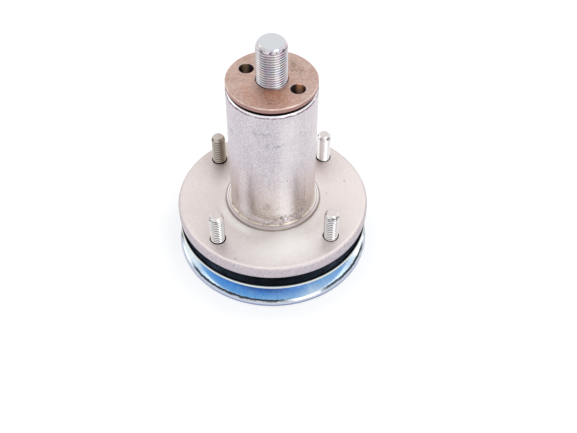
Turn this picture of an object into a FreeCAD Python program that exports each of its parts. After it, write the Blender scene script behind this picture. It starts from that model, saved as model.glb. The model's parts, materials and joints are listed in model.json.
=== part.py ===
import FreeCAD
import Part
import math
import os

# Mower deck spindle: a belt pulley and a blade driver on one shaft, which turns in two ball
# bearings inside a flanged steel housing. Four studs in the flange hold the housing to the deck.
# Millimetres and degrees. The shaft lies along +Z with its blade end up, and the origin is on the
# axis in the plane of the pulley's lower rim, which the spindle stands on when it is off the deck.

# Shaft: a ground bar with a collar, a thread at each end and two key seats
SHAFT_RADIUS = 7.9375
COLLAR_WIDTH = 3.0
BLADE_END_LENGTH = 22.1
BLADE_THREAD_UNDER_BAR = 0.12
BLADE_TIP_CHAMFER = 1.7
BLADE_TIP_ROUND = 5.0
RELIEF_DEPTH = 0.9
RELIEF_WIDTH = 2.5
RELIEF_ABOVE_SEAT = 0.4
PULLEY_END_CHAMFER = 1.2
PULLEY_END_STANDOUT = 2.4
FLOOR_CLEARANCE = 2.0

# Keys and their seats
KEY_WIDTH = 4.76
KEY_SEAT_DEPTH = 2.4
KEY_STANDOUT = 1.6
KEY_TOP_CLEARANCE = 0.1
KEY_END_CLEARANCE = 0.3

# Pulley: two pressed halves, a turned boss, a spring washer and a jam nut
PULLEY_SHEET = 1.6
PULLEY_RIM_RADIUS = 53.8
PULLEY_LIP_RADIUS = 52.5
RIM_CORNER_HEIGHT = 3.35
RIM_BEND_INSIDE = 0.6
RIM_FOOT_ROUND = 1.4
GROOVE_HALF_ANGLE = 17.0
GROOVE_ROOT_RADIUS = 34.0
SHEET_BEND_INSIDE = 1.5
CUP_INSIDE_ROOT = 6.5
CUP_SLANT = 3.5
WELD_LAND_WIDTH = 4.5
BOSS_WALL = 3.6
BOSS_FLANGE_WIDTH = 5.5
BOSS_FLANGE_HEIGHT = 3.0
BOSS_EDGE = 0.5
WASHER_WIDTH = 4.8
WASHER_THICKNESS = 3.0
WASHER_CLEARANCE = 0.25
WASHER_SLIT = 1.2
WASHER_SLIT_ANGLE = 25.0
NUT_SIDES = 6
NUT_ACROSS_FLATS = 23.8
NUT_HEIGHT = 9.5
NUT_FACE_INSET = 0.4
NUT_CHAMFER_ANGLE = 30.0

# Housing: a tube brazed into a turned flange
FLANGE_GAP = 7.5
FLANGE_RADIUS = 52.6
FLANGE_THICKNESS = 7.0
FLANGE_TOP_ROUND = 2.1
FLANGE_LOWER_CHAMFER = 0.5
PILOT_WIDTH = 3.0
PILOT_HEIGHT = 1.3
PILOT_ROUND = 0.5
BRAZE_GROOVE = 0.6
BRAZE_ABOVE_PILOT = 0.5
TUBE_WALL = 3.0
TUBE_STANDOUT = 78.0
TUBE_END_CHAMFER = 1.0
TUBE_FOOT_CHAMFER = 0.5
BEARING_SHOULDER = 2.0
MOUTH_STEP = 1.2
MOUTH_DEPTH = 7.1
MOUTH_STEP_ABOVE_BEARING = 0.6
PULLEY_BEARING_RECESS = 1.0

# Studs, pressed into the flange from below
STUD_COUNT = 4
STUD_CIRCLE_RADIUS = 42.5
STUD_FIRST_ANGLE = 45.0
STUD_RADIUS = 3.87
STUD_STANDOUT = 18.0
STUD_TIP_ROUND = 1.3
STUD_NECK_RADIUS = 4.2
STUD_NECK_LENGTH = 4.0
STUD_RELIEF_DEPTH = 0.5
STUD_HEAD_RADIUS = 6.5
STUD_HEAD_HEIGHT = 3.0
STUD_HEAD_ROUND = 0.5
STUD_HOLE_CLEARANCE = 0.55

# Ball bearings, two alike
BEARING_OUTER_RADIUS = 20.0
BEARING_EDGE = 0.6
BALL_COUNT = 8
BALL_RADIUS = 3.37
BALL_CLEARANCE = 0.13
LAND_FROM_PITCH = 2.2
CAGE_RIM = 1.1
CAGE_HALF_WIDTH = 1.25
CAGE_HORN_HEIGHT = 1.8
CAGE_POCKET_CLEARANCE = 0.13
CAGE_TO_SEAL = 0.4
SEAL_THICKNESS = 0.8
SEAL_RECESS = 0.2
SEAL_SEAT_DEPTH = 0.9
SEAL_LIP_CLEARANCE = 0.2
ABUTMENT_MARGIN = 0.8
SPACER_CLEARANCE = 0.15

# Blade driver: a sintered disc with two holes for the blade's pins
DRIVER_INSET = 0.1
DRIVER_RIM_HEIGHT = 2.9
DRIVER_EDGE = 0.5
DRIVER_GAP = 1.9
SPIGOT_CLEARANCE = 0.7
DRIVER_COUNTERSINK = 0.3
PIN_HOLE_COUNT = 2
PIN_HOLE_RADIUS = 3.7
PIN_HOLE_EDGE = 0.2
PIN_HOLE_WALL = 2.0
PIN_FIRST_ANGLE = -33.5

# How far a cutting tool runs past the face that it opens, and when two points are one
CUT_OVERRUN = 1.0
SAME_POINT = 1e-6

ORIGIN = FreeCAD.Vector(0, 0, 0)
UP = FreeCAD.Vector(0, 0, 1)

# Heights on the shaft, worked out from the standing plane up
GROOVE_SLOPE = math.tan(math.radians(GROOVE_HALF_ANGLE))
shaft_bottom = FLOOR_CLEARANCE
nut_bottom = shaft_bottom + PULLEY_END_STANDOUT
washer_bottom = nut_bottom + NUT_HEIGHT
cup_underside = washer_bottom + WASHER_THICKNESS
cup_top = cup_underside + PULLEY_SHEET
web_plane = RIM_CORNER_HEIGHT + GROOVE_SLOPE * (PULLEY_RIM_RADIUS - GROOVE_ROOT_RADIUS)
lip_underside = web_plane + GROOVE_SLOPE * (PULLEY_LIP_RADIUS - GROOVE_ROOT_RADIUS)
lip_top = lip_underside + PULLEY_SHEET * math.cos(math.radians(GROOVE_HALF_ANGLE))
flange_bottom = lip_top + FLANGE_GAP
flange_top = flange_bottom + FLANGE_THICKNESS
pilot_top = flange_top + PILOT_HEIGHT
tube_top = flange_top + TUBE_STANDOUT
seal_depth = SEAL_RECESS + SEAL_THICKNESS
bearing_width = 2 * (BALL_RADIUS + CAGE_POCKET_CLEARANCE + CAGE_RIM + CAGE_TO_SEAL + seal_depth)
pulley_bearing_bottom = flange_bottom + PULLEY_BEARING_RECESS
pulley_bearing_top = pulley_bearing_bottom + bearing_width
blade_bearing_top = tube_top - MOUTH_DEPTH
blade_bearing_bottom = blade_bearing_top - bearing_width
driver_bottom = blade_bearing_top + COLLAR_WIDTH
rim_underside = tube_top + DRIVER_GAP
driver_top = rim_underside + DRIVER_RIM_HEIGHT
thread_start = driver_top + RELIEF_ABOVE_SEAT
relief_bottom = thread_start - RELIEF_WIDTH
shaft_top = driver_top + BLADE_END_LENGTH

# Radii inside a bearing, and of what stands against its inner ring
pitch_radius = (SHAFT_RADIUS + BEARING_OUTER_RADIUS) / 2
inner_land = pitch_radius - LAND_FROM_PITCH
outer_land = pitch_radius + LAND_FROM_PITCH
seal_seat = outer_land + SEAL_SEAT_DEPTH
abutment_radius = inner_land - ABUTMENT_MARGIN

# Radii that follow from the bearings outwards and from the shaft outwards
tube_radius = BEARING_OUTER_RADIUS + TUBE_WALL
mouth_radius = BEARING_OUTER_RADIUS + MOUTH_STEP
pilot_radius = tube_radius + PILOT_WIDTH
driver_radius = tube_radius - DRIVER_INSET
spigot_radius = mouth_radius - SPIGOT_CLEARANCE
pin_circle_radius = spigot_radius - PIN_HOLE_WALL - PIN_HOLE_RADIUS
boss_spigot_radius = SHAFT_RADIUS + BOSS_WALL
boss_flange_radius = boss_spigot_radius + BOSS_FLANGE_WIDTH
washer_bore_radius = SHAFT_RADIUS + WASHER_CLEARANCE
washer_radius = washer_bore_radius + WASHER_WIDTH
cup_foot_radius = GROOVE_ROOT_RADIUS - CUP_INSIDE_ROOT
cup_top_radius = cup_foot_radius - CUP_SLANT


def sharp(radius, height):
    """A plain corner of a profile."""
    return FreeCAD.Vector(radius, 0, height), 0.0, False


def rounded(radius, height, size):
    """A corner of a profile with a tangent arc."""
    return FreeCAD.Vector(radius, 0, height), size, True


def chamfered(radius, height, leg):
    """A corner of a profile with an even bevel."""
    return FreeCAD.Vector(radius, 0, height), leg, False


def profile_face(corners):
    """Flat face in the XZ plane, through the corners in order."""
    stations = []
    for index, (point, size, has_arc) in enumerate(corners):
        back = (corners[index - 1][0] - point).normalize()
        ahead = (corners[(index + 1) % len(corners)][0] - point).normalize()
        half_angle = back.getAngle(ahead) / 2
        reach = size / math.tan(half_angle) if has_arc else size
        middle = point + (back + ahead) * (reach / 2)
        if has_arc:
            inward = (back + ahead).normalize()
            middle = point + inward * (size / math.sin(half_angle) - size)
        stations.append((point + back * reach, middle, point + ahead * reach, size > 0, has_arc))

    edges = []
    for index, (entry, middle, leave, is_cut, has_arc) in enumerate(stations):
        if is_cut and has_arc:
            edges.append(Part.Arc(entry, middle, leave).toShape())
        elif is_cut:
            edges.append(Part.makeLine(entry, leave))
        following = stations[(index + 1) % len(stations)][0]
        if not leave.isEqual(following, SAME_POINT):
            edges.append(Part.makeLine(leave, following))
    return Part.Face(Part.Wire(edges))


def turned(corners):
    """Solid of revolution about the shaft's axis."""
    return profile_face(corners).revolve(ORIGIN, UP, 360)


def ring(inner_radius, outer_radius, bottom, top):
    """Plain turned ring."""
    return turned([
        sharp(inner_radius, bottom),
        sharp(outer_radius, bottom),
        sharp(outer_radius, top),
        sharp(inner_radius, top),
    ])


def stepped_hole(lower_radius, step_height, upper_radius, bottom, top):
    """Tool for a hole on the axis that widens at step_height, with room to cut through both faces."""
    return turned([
        sharp(0, bottom - CUT_OVERRUN),
        sharp(lower_radius, bottom - CUT_OVERRUN),
        sharp(lower_radius, step_height),
        sharp(upper_radius, step_height),
        sharp(upper_radius, top + CUT_OVERRUN),
        sharp(0, top + CUT_OVERRUN),
    ])


def around_axis(shape, circle_radius, count, first_angle):
    """Copies of a shape that was made on the axis, evenly spaced on a circle."""
    copies = []
    for index in range(count):
        copy = shape.copy()
        copy.translate(FreeCAD.Vector(circle_radius, 0, 0))
        copy.rotate(ORIGIN, UP, first_angle + index * 360.0 / count)
        copies.append(copy)
    return copies


def side_path(path, distance):
    """The path's corners moved to its left by distance, or to its right where that is negative."""
    points = [corner[0] for corner in path]
    runs = [(after - before).normalize() for before, after in zip(points, points[1:])]
    normals = [FreeCAD.Vector(-run.z, 0, run.x) for run in runs]
    moved = []
    for index, (point, size, has_arc) in enumerate(path):
        before = normals[max(index - 1, 0)]
        after = normals[min(index, len(normals) - 1)]
        place = point + (before + after) * (distance / (1 + before.dot(after)))
        turns_left = before.x * after.z - before.z * after.x > 0
        bend = size - distance if turns_left else size + distance
        moved.append((place, bend if has_arc else size, has_arc))
    return moved


def pressed_sheet(path, thickness):
    """Sheet of even thickness on one side of a path, spun about the axis."""
    return turned(path + list(reversed(side_path(path, thickness))))


def key_solid(bottom, top):
    """Round-ended key on the +Y side of the shaft."""
    half = KEY_WIDTH / 2
    outline = profile_face([
        rounded(-half, bottom, half),
        rounded(half, bottom, half),
        rounded(half, top, half),
        rounded(-half, top, half),
    ])
    key = outline.extrude(FreeCAD.Vector(0, KEY_SEAT_DEPTH + KEY_STANDOUT, 0))
    key.translate(FreeCAD.Vector(0, SHAFT_RADIUS - KEY_SEAT_DEPTH, 0))
    return key


def keyway_tool(bottom, top):
    """Slot in a bore that takes the half of the key that stands out of the shaft."""
    corner = FreeCAD.Vector(-KEY_WIDTH / 2, 0, bottom)
    reach = SHAFT_RADIUS + KEY_STANDOUT + KEY_TOP_CLEARANCE
    return Part.makeBox(KEY_WIDTH, reach, top - bottom, corner)


def driver_key():
    return key_solid(driver_bottom + KEY_END_CLEARANCE, relief_bottom - KEY_END_CLEARANCE)


def pulley_key():
    return key_solid(cup_underside + KEY_END_CLEARANCE, pulley_bearing_bottom - KEY_END_CLEARANCE)


def spindle_shaft():
    thread_radius = SHAFT_RADIUS - BLADE_THREAD_UNDER_BAR
    relief_radius = SHAFT_RADIUS - RELIEF_DEPTH
    bar = turned([
        sharp(0, shaft_bottom),
        chamfered(SHAFT_RADIUS, shaft_bottom, PULLEY_END_CHAMFER),
        sharp(SHAFT_RADIUS, blade_bearing_top),
        sharp(abutment_radius, blade_bearing_top),
        sharp(abutment_radius, driver_bottom),
        sharp(SHAFT_RADIUS, driver_bottom),
        sharp(SHAFT_RADIUS, relief_bottom),
        sharp(relief_radius, relief_bottom),
        sharp(relief_radius, thread_start),
        sharp(thread_radius, thread_start),
        rounded(thread_radius, shaft_top - BLADE_TIP_CHAMFER, BLADE_TIP_ROUND),
        sharp(thread_radius - BLADE_TIP_CHAMFER, shaft_top),
        sharp(0, shaft_top),
    ])
    return bar.cut(driver_key()).cut(pulley_key())


def blade_driver():
    disc = turned([
        sharp(SHAFT_RADIUS, driver_bottom),
        chamfered(spigot_radius, driver_bottom, DRIVER_EDGE),
        sharp(spigot_radius, rim_underside),
        chamfered(driver_radius, rim_underside, DRIVER_EDGE),
        chamfered(driver_radius, driver_top, DRIVER_EDGE),
        sharp(SHAFT_RADIUS + DRIVER_COUNTERSINK, driver_top),
        sharp(SHAFT_RADIUS, driver_top - DRIVER_COUNTERSINK),
    ])
    pin_hole = turned([
        sharp(0, driver_bottom - CUT_OVERRUN),
        sharp(PIN_HOLE_RADIUS, driver_bottom - CUT_OVERRUN),
        sharp(PIN_HOLE_RADIUS, driver_top - PIN_HOLE_EDGE),
        sharp(PIN_HOLE_RADIUS + PIN_HOLE_EDGE, driver_top),
        sharp(PIN_HOLE_RADIUS + PIN_HOLE_EDGE, driver_top + CUT_OVERRUN),
        sharp(0, driver_top + CUT_OVERRUN),
    ])
    pin_holes = around_axis(pin_hole, pin_circle_radius, PIN_HOLE_COUNT, PIN_FIRST_ANGLE)
    return disc.cut(pin_holes).cut(keyway_tool(driver_bottom, relief_bottom))


def bearing_spacer():
    return ring(SHAFT_RADIUS + SPACER_CLEARANCE, abutment_radius, pulley_bearing_top, blade_bearing_bottom)


def pulley_upper_half():
    outside_bend = SHEET_BEND_INSIDE + PULLEY_SHEET
    underside = [
        sharp(PULLEY_LIP_RADIUS, lip_underside),
        rounded(GROOVE_ROOT_RADIUS, web_plane, outside_bend),
        rounded(cup_foot_radius, web_plane, outside_bend),
        rounded(cup_top_radius, cup_underside, SHEET_BEND_INSIDE),
        sharp(boss_spigot_radius, cup_underside),
    ]
    return pressed_sheet(underside, -PULLEY_SHEET)


def pulley_lower_half():
    outer_side = [
        sharp(PULLEY_RIM_RADIUS, 0),
        rounded(PULLEY_RIM_RADIUS, RIM_CORNER_HEIGHT, RIM_BEND_INSIDE + PULLEY_SHEET),
        rounded(GROOVE_ROOT_RADIUS, web_plane, SHEET_BEND_INSIDE + PULLEY_SHEET),
        sharp(GROOVE_ROOT_RADIUS - WELD_LAND_WIDTH, web_plane),
    ]
    blank = turned([
        sharp(0, 0),
        rounded(PULLEY_RIM_RADIUS, 0, RIM_FOOT_ROUND),
        sharp(PULLEY_RIM_RADIUS, web_plane + CUT_OVERRUN),
        sharp(0, web_plane + CUT_OVERRUN),
    ])
    return pressed_sheet(outer_side, PULLEY_SHEET).common(blank)


def pulley_boss():
    boss = turned([
        sharp(SHAFT_RADIUS, cup_underside),
        sharp(boss_spigot_radius, cup_underside),
        sharp(boss_spigot_radius, cup_top),
        sharp(boss_flange_radius, cup_top),
        chamfered(boss_flange_radius, cup_top + BOSS_FLANGE_HEIGHT, BOSS_EDGE),
        sharp(abutment_radius, cup_top + BOSS_FLANGE_HEIGHT),
        chamfered(abutment_radius, pulley_bearing_bottom, BOSS_EDGE),
        sharp(SHAFT_RADIUS, pulley_bearing_bottom),
    ])
    return boss.cut(keyway_tool(cup_underside, pulley_bearing_bottom))


def pulley_washer():
    washer = ring(washer_bore_radius, washer_radius, washer_bottom, cup_underside)
    slit_height = 2 * (WASHER_THICKNESS + CUT_OVERRUN)
    slit = Part.makeBox(washer_radius + CUT_OVERRUN, WASHER_SLIT, slit_height)
    slit.translate(FreeCAD.Vector(0, -WASHER_SLIT / 2, -slit_height / 2))
    slit.rotate(ORIGIN, FreeCAD.Vector(1, 0, 0), WASHER_SLIT_ANGLE)
    slit.translate(FreeCAD.Vector(0, 0, washer_bottom + WASHER_THICKNESS / 2))
    return washer.cut(slit)


def pulley_nut():
    corner_radius = NUT_ACROSS_FLATS / 2 / math.cos(math.pi / NUT_SIDES)
    corner = FreeCAD.Vector(corner_radius, 0, nut_bottom)
    corners = [FreeCAD.Rotation(UP, 360 * side / NUT_SIDES).multVec(corner) for side in range(NUT_SIDES)]
    hexagon = Part.Face(Part.makePolygon(corners + corners[:1]))
    prism = hexagon.extrude(UP * NUT_HEIGHT)
    face_radius = NUT_ACROSS_FLATS / 2 - NUT_FACE_INSET
    drop = (corner_radius - face_radius) * math.tan(math.radians(NUT_CHAMFER_ANGLE))
    blank = turned([
        sharp(SHAFT_RADIUS, nut_bottom),
        sharp(face_radius, nut_bottom),
        sharp(corner_radius, nut_bottom + drop),
        sharp(corner_radius, washer_bottom - drop),
        sharp(face_radius, washer_bottom),
        sharp(SHAFT_RADIUS, washer_bottom),
    ])
    return blank.common(prism)


def mounting_flange():
    plate = turned([
        sharp(tube_radius, flange_bottom),
        chamfered(FLANGE_RADIUS, flange_bottom, FLANGE_LOWER_CHAMFER),
        rounded(FLANGE_RADIUS, flange_top, FLANGE_TOP_ROUND),
        sharp(pilot_radius, flange_top),
        rounded(pilot_radius, pilot_top, PILOT_ROUND),
        chamfered(tube_radius, pilot_top, BRAZE_GROOVE),
    ])
    hole = stepped_hole(
        STUD_NECK_RADIUS,
        flange_bottom + STUD_NECK_LENGTH,
        STUD_RADIUS + STUD_HOLE_CLEARANCE,
        flange_bottom,
        flange_top,
    )
    return plate.cut(around_axis(hole, STUD_CIRCLE_RADIUS, STUD_COUNT, STUD_FIRST_ANGLE))


def mounting_studs():
    stud = turned([
        sharp(0, flange_bottom - STUD_HEAD_HEIGHT),
        rounded(STUD_HEAD_RADIUS, flange_bottom - STUD_HEAD_HEIGHT, STUD_HEAD_ROUND),
        sharp(STUD_HEAD_RADIUS, flange_bottom),
        sharp(STUD_NECK_RADIUS, flange_bottom),
        sharp(STUD_NECK_RADIUS, flange_bottom + STUD_NECK_LENGTH),
        sharp(STUD_RADIUS - STUD_RELIEF_DEPTH, flange_bottom + STUD_NECK_LENGTH),
        sharp(STUD_RADIUS - STUD_RELIEF_DEPTH, flange_top),
        sharp(STUD_RADIUS, flange_top),
        rounded(STUD_RADIUS, flange_top + STUD_STANDOUT, STUD_TIP_ROUND),
        sharp(0, flange_top + STUD_STANDOUT),
    ])
    return Part.makeCompound(around_axis(stud, STUD_CIRCLE_RADIUS, STUD_COUNT, STUD_FIRST_ANGLE))


def housing_tube():
    mouth_step = blade_bearing_top + MOUTH_STEP_ABOVE_BEARING
    return turned([
        sharp(BEARING_OUTER_RADIUS, flange_bottom),
        chamfered(tube_radius, flange_bottom, TUBE_FOOT_CHAMFER),
        chamfered(tube_radius, tube_top, TUBE_END_CHAMFER),
        sharp(mouth_radius, tube_top),
        sharp(mouth_radius, mouth_step),
        sharp(BEARING_OUTER_RADIUS, mouth_step),
        sharp(BEARING_OUTER_RADIUS, blade_bearing_bottom),
        sharp(BEARING_OUTER_RADIUS - BEARING_SHOULDER, blade_bearing_bottom),
        sharp(BEARING_OUTER_RADIUS - BEARING_SHOULDER, pulley_bearing_top),
        sharp(BEARING_OUTER_RADIUS, pulley_bearing_top),
    ])


def braze_fillet():
    return turned([
        sharp(tube_radius, pilot_top - BRAZE_GROOVE),
        sharp(tube_radius + BRAZE_GROOVE, pilot_top),
        sharp(tube_radius, pilot_top + BRAZE_ABOVE_PILOT),
    ])


def bearing_parts(bottom):
    """One sealed ball bearing with its lower face at a height: a shape under each piece's name."""
    top = bottom + bearing_width
    middle = FreeCAD.Vector(0, 0, (bottom + top) / 2)
    raceway = Part.makeTorus(pitch_radius, BALL_RADIUS + BALL_CLEARANCE, middle, UP)
    inner_ring = turned([
        chamfered(SHAFT_RADIUS, bottom, BEARING_EDGE),
        sharp(inner_land, bottom),
        sharp(inner_land, top),
        chamfered(SHAFT_RADIUS, top, BEARING_EDGE),
    ])
    outer_ring = turned([
        sharp(seal_seat, bottom),
        rounded(BEARING_OUTER_RADIUS, bottom, BEARING_EDGE),
        rounded(BEARING_OUTER_RADIUS, top, BEARING_EDGE),
        sharp(seal_seat, top),
        sharp(seal_seat, top - seal_depth),
        sharp(outer_land, top - seal_depth),
        sharp(outer_land, bottom + seal_depth),
        sharp(seal_seat, bottom + seal_depth),
    ])

    balls = around_axis(Part.makeSphere(BALL_RADIUS, middle), pitch_radius, BALL_COUNT, 0)
    pocket_radius = BALL_RADIUS + CAGE_POCKET_CLEARANCE
    pockets = around_axis(Part.makeSphere(pocket_radius, middle), pitch_radius, BALL_COUNT, 0)
    crown = ring(
        pitch_radius - CAGE_HALF_WIDTH,
        pitch_radius + CAGE_HALF_WIDTH,
        middle.z - pocket_radius - CAGE_RIM,
        middle.z + CAGE_HORN_HEIGHT,
    )

    lip_radius = inner_land + SEAL_LIP_CLEARANCE
    return {
        "inner_ring": inner_ring.cut(raceway),
        "outer_ring": outer_ring.cut(raceway),
        "balls": Part.makeCompound(balls),
        "cage": crown.cut(pockets),
        "lower_seal": ring(lip_radius, seal_seat, bottom + SEAL_RECESS, bottom + seal_depth),
        "upper_seal": ring(lip_radius, seal_seat, top - seal_depth, top - SEAL_RECESS),
    }


def all_parts():
    """Every piece of the spindle under the name of its file."""
    parts = {
        "housing_tube": housing_tube(),
        "mounting_flange": mounting_flange(),
        "braze_fillet": braze_fillet(),
        "mounting_studs": mounting_studs(),
        "spindle_shaft": spindle_shaft(),
        "blade_driver": blade_driver(),
        "driver_key": driver_key(),
        "bearing_spacer": bearing_spacer(),
        "pulley_boss": pulley_boss(),
        "pulley_key": pulley_key(),
        "pulley_upper_half": pulley_upper_half(),
        "pulley_lower_half": pulley_lower_half(),
        "pulley_washer": pulley_washer(),
        "pulley_nut": pulley_nut(),
    }
    bearing_places = {
        "blade_bearing": blade_bearing_bottom,
        "pulley_bearing": pulley_bearing_bottom,
    }
    for bearing, bottom in bearing_places.items():
        for piece, shape in bearing_parts(bottom).items():
            parts[bearing + "_" + piece] = shape
    return parts


os.makedirs("parts", exist_ok=True)
for name, shape in all_parts().items():
    shape.exportStep("parts/" + name + ".step")
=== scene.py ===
import json
import math
from functools import partialmethod

import bmesh
import bpy
from mathutils import Matrix, Vector


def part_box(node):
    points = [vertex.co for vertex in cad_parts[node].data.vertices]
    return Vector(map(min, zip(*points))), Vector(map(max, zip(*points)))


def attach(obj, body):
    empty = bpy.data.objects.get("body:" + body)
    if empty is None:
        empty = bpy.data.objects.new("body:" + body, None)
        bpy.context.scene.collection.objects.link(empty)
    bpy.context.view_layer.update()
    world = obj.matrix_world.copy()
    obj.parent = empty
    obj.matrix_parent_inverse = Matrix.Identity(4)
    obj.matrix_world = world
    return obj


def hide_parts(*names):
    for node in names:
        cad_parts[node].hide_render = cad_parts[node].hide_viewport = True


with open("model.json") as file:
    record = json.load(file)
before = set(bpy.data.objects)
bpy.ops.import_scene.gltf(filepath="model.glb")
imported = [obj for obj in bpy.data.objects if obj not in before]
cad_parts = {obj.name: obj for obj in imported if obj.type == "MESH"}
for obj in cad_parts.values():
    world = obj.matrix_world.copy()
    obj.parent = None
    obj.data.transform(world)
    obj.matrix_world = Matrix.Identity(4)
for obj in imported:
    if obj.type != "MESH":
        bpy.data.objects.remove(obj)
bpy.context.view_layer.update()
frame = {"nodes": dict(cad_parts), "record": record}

bl_info = {
    "name": "Mower Deck Spindle",
    "version": (1, 0, 0),
    "blender": (4, 5, 0),
    "location": "View3D > Sidebar > Spindle",
    "description": "Cuts a mower deck spindle's threads, gives its metals their finish and sets its stage",
    "category": "Object",
}

MM = 0.001

# Threads and turned pieces. A tooth's corner is a share of the pitch, and an overlap is how far one shape
# runs into the next before they are joined.
SIDES = 96
TIP_STEPS = 8
HEAD_STEPS = 3
KEY_STEPS = 8
PITCH_MM = 25.4 / 18
FLANK_ANGLE = math.radians(60)
TOOTH_CORNER = 0.14
OVERLAP = 1.0 * MM
RUN_IN = 0.3 * MM
CREST_MARGIN = 0.05 * MM
THREAD_WELD = 0.002 * MM
CUT_TOLERANCE = 0.0002 * MM
SEAM_WELD = 0.0005 * MM
SMOOTH_ANGLE = math.radians(38)
FIRST_STUD_TURN = 45.0

# Finishes. A relief is the depth of a bump and its strength.
GROOVE_SLOPE = math.tan(math.radians(17.0))
BRIGHT_RELIEF = (0.01 * MM, 0.4)

# Stage. A lamp has its name, place, width and the setting that holds its power.
WHITE = (1.0, 1.0, 1.0, 1.0)
FLOOR_SIZE = 8.0
SENSOR_WIDTH = 36.0
NEAR_CLIP = 0.01
LAMP_AIM = (0.0, 0.0, 0.05)
LAMPS = (
    ("top_lamp", (0.12, 0.06, 1.25), 1.4, "top_power"),
    ("key_lamp", (0.53, -0.73, 0.65), 0.45, "key_power"),
    ("left_lamp", (-0.85, 0.31, 0.63), 0.45, "side_power"),
    ("right_lamp", (0.71, 0.55, 0.63), 0.45, "side_power"),
)


def mount(name):
    """The packed record's mount of that name."""
    return next(entry for entry in frame["record"]["mounts"] if entry["name"] == name)


def setting(label, says, value, **more):
    """A number that the user can change."""
    return bpy.props.FloatProperty(name=label, description=says, default=value, **more)


def length(label, says, size):
    """A length that the user can change, given in millimetres."""
    return setting(label, says, size * MM, min=0.0, unit="LENGTH", precision=5)


def hue(label, says, *screen):
    """A colour that the user can change, given as 8-bit screen numbers."""
    shares = [value / 255 for value in screen]
    linear = [((share + 0.055) / 1.055) ** 2.4 if share > 0.04045 else share / 12.92 for share in shares]
    return bpy.props.FloatVectorProperty(
        name=label, description=says, default=(*linear, 1.0), size=4, min=0.0, max=1.0, subtype="COLOR")


shaft_low, shaft_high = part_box("spindle_shaft")
driver_low, driver_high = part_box("blade_driver")
stud_low, stud_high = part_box("mounting_studs")
flange_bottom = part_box("mounting_flange")[0].z
tube_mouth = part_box("housing_tube")[1].z / MM
deck_face = mount("deck_face")["pos_m"][2]
deck_studs = mount("deck_studs")["dims"]


class SpindleShaftSizes(bpy.types.PropertyGroup):
    """Sizes of the shaft and its two threads."""

    journal_radius: length("Journal radius", "Ground bar that the bearings sit on", 7.9375)
    blade_thread_radius: length(
        "Blade thread radius", "Over the crests of the blade end", mount("blade_arbor")["dims"]["r_mm"])
    pulley_thread_radius: length("Pulley thread radius", "Over the crests of the pulley end", 7.9075)
    pitch: length("Pitch", "From crest to crest, 18 to the inch", PITCH_MM)
    depth: length("Thread depth", "From crest to root", 0.8)
    tip_chamfer: length("Tip chamfer", "Bevel of the blade end", 1.7)
    tip_round: length("Tip round", "Round between that bevel and the thread", 5.0)
    pulley_end_chamfer: length("Pulley end chamfer", "Bevel of the lower end", 1.2)
    pulley_thread_length: length("Pulley thread length", "From the lower end up", 13.0)
    collar_radius: length("Collar radius", "Collar between bearing and driver", shaft_high.x / MM)
    relief_depth: length("Relief depth", "Groove below the blade thread", 0.9)
    relief_width: length("Relief width", "Height of that groove", 1.5)
    thread_below_seat: length("Thread below seat", "How far the thread runs into the driver", 0.6)


class SpindleStudSizes(bpy.types.PropertyGroup):
    """Sizes of one deck stud."""

    crest_radius: length("Crest radius", "Over the crests of the thread", deck_studs["stud_r_mm"])
    circle_radius: length("Circle radius", "From the shaft's axis", deck_studs["pcd_mm"] / 2)
    pitch: length("Pitch", "From crest to crest, 18 to the inch", PITCH_MM)
    depth: length("Thread depth", "From crest to root", 0.75)
    tip_chamfer: length("Tip chamfer", "Bevel of the point", 1.35)
    tip_round: length("Tip round", "Round between that bevel and the thread", 3.0)
    neck_radius: length("Neck radius", "Pressed length inside the flange", 4.2)
    neck_length: length("Neck length", "Height of the pressed length", 4.0)
    head_radius: length("Head radius", "Flat head under the flange", 6.5)
    head_round: length("Head round", "Lower edge of the head", 0.5)


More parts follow.
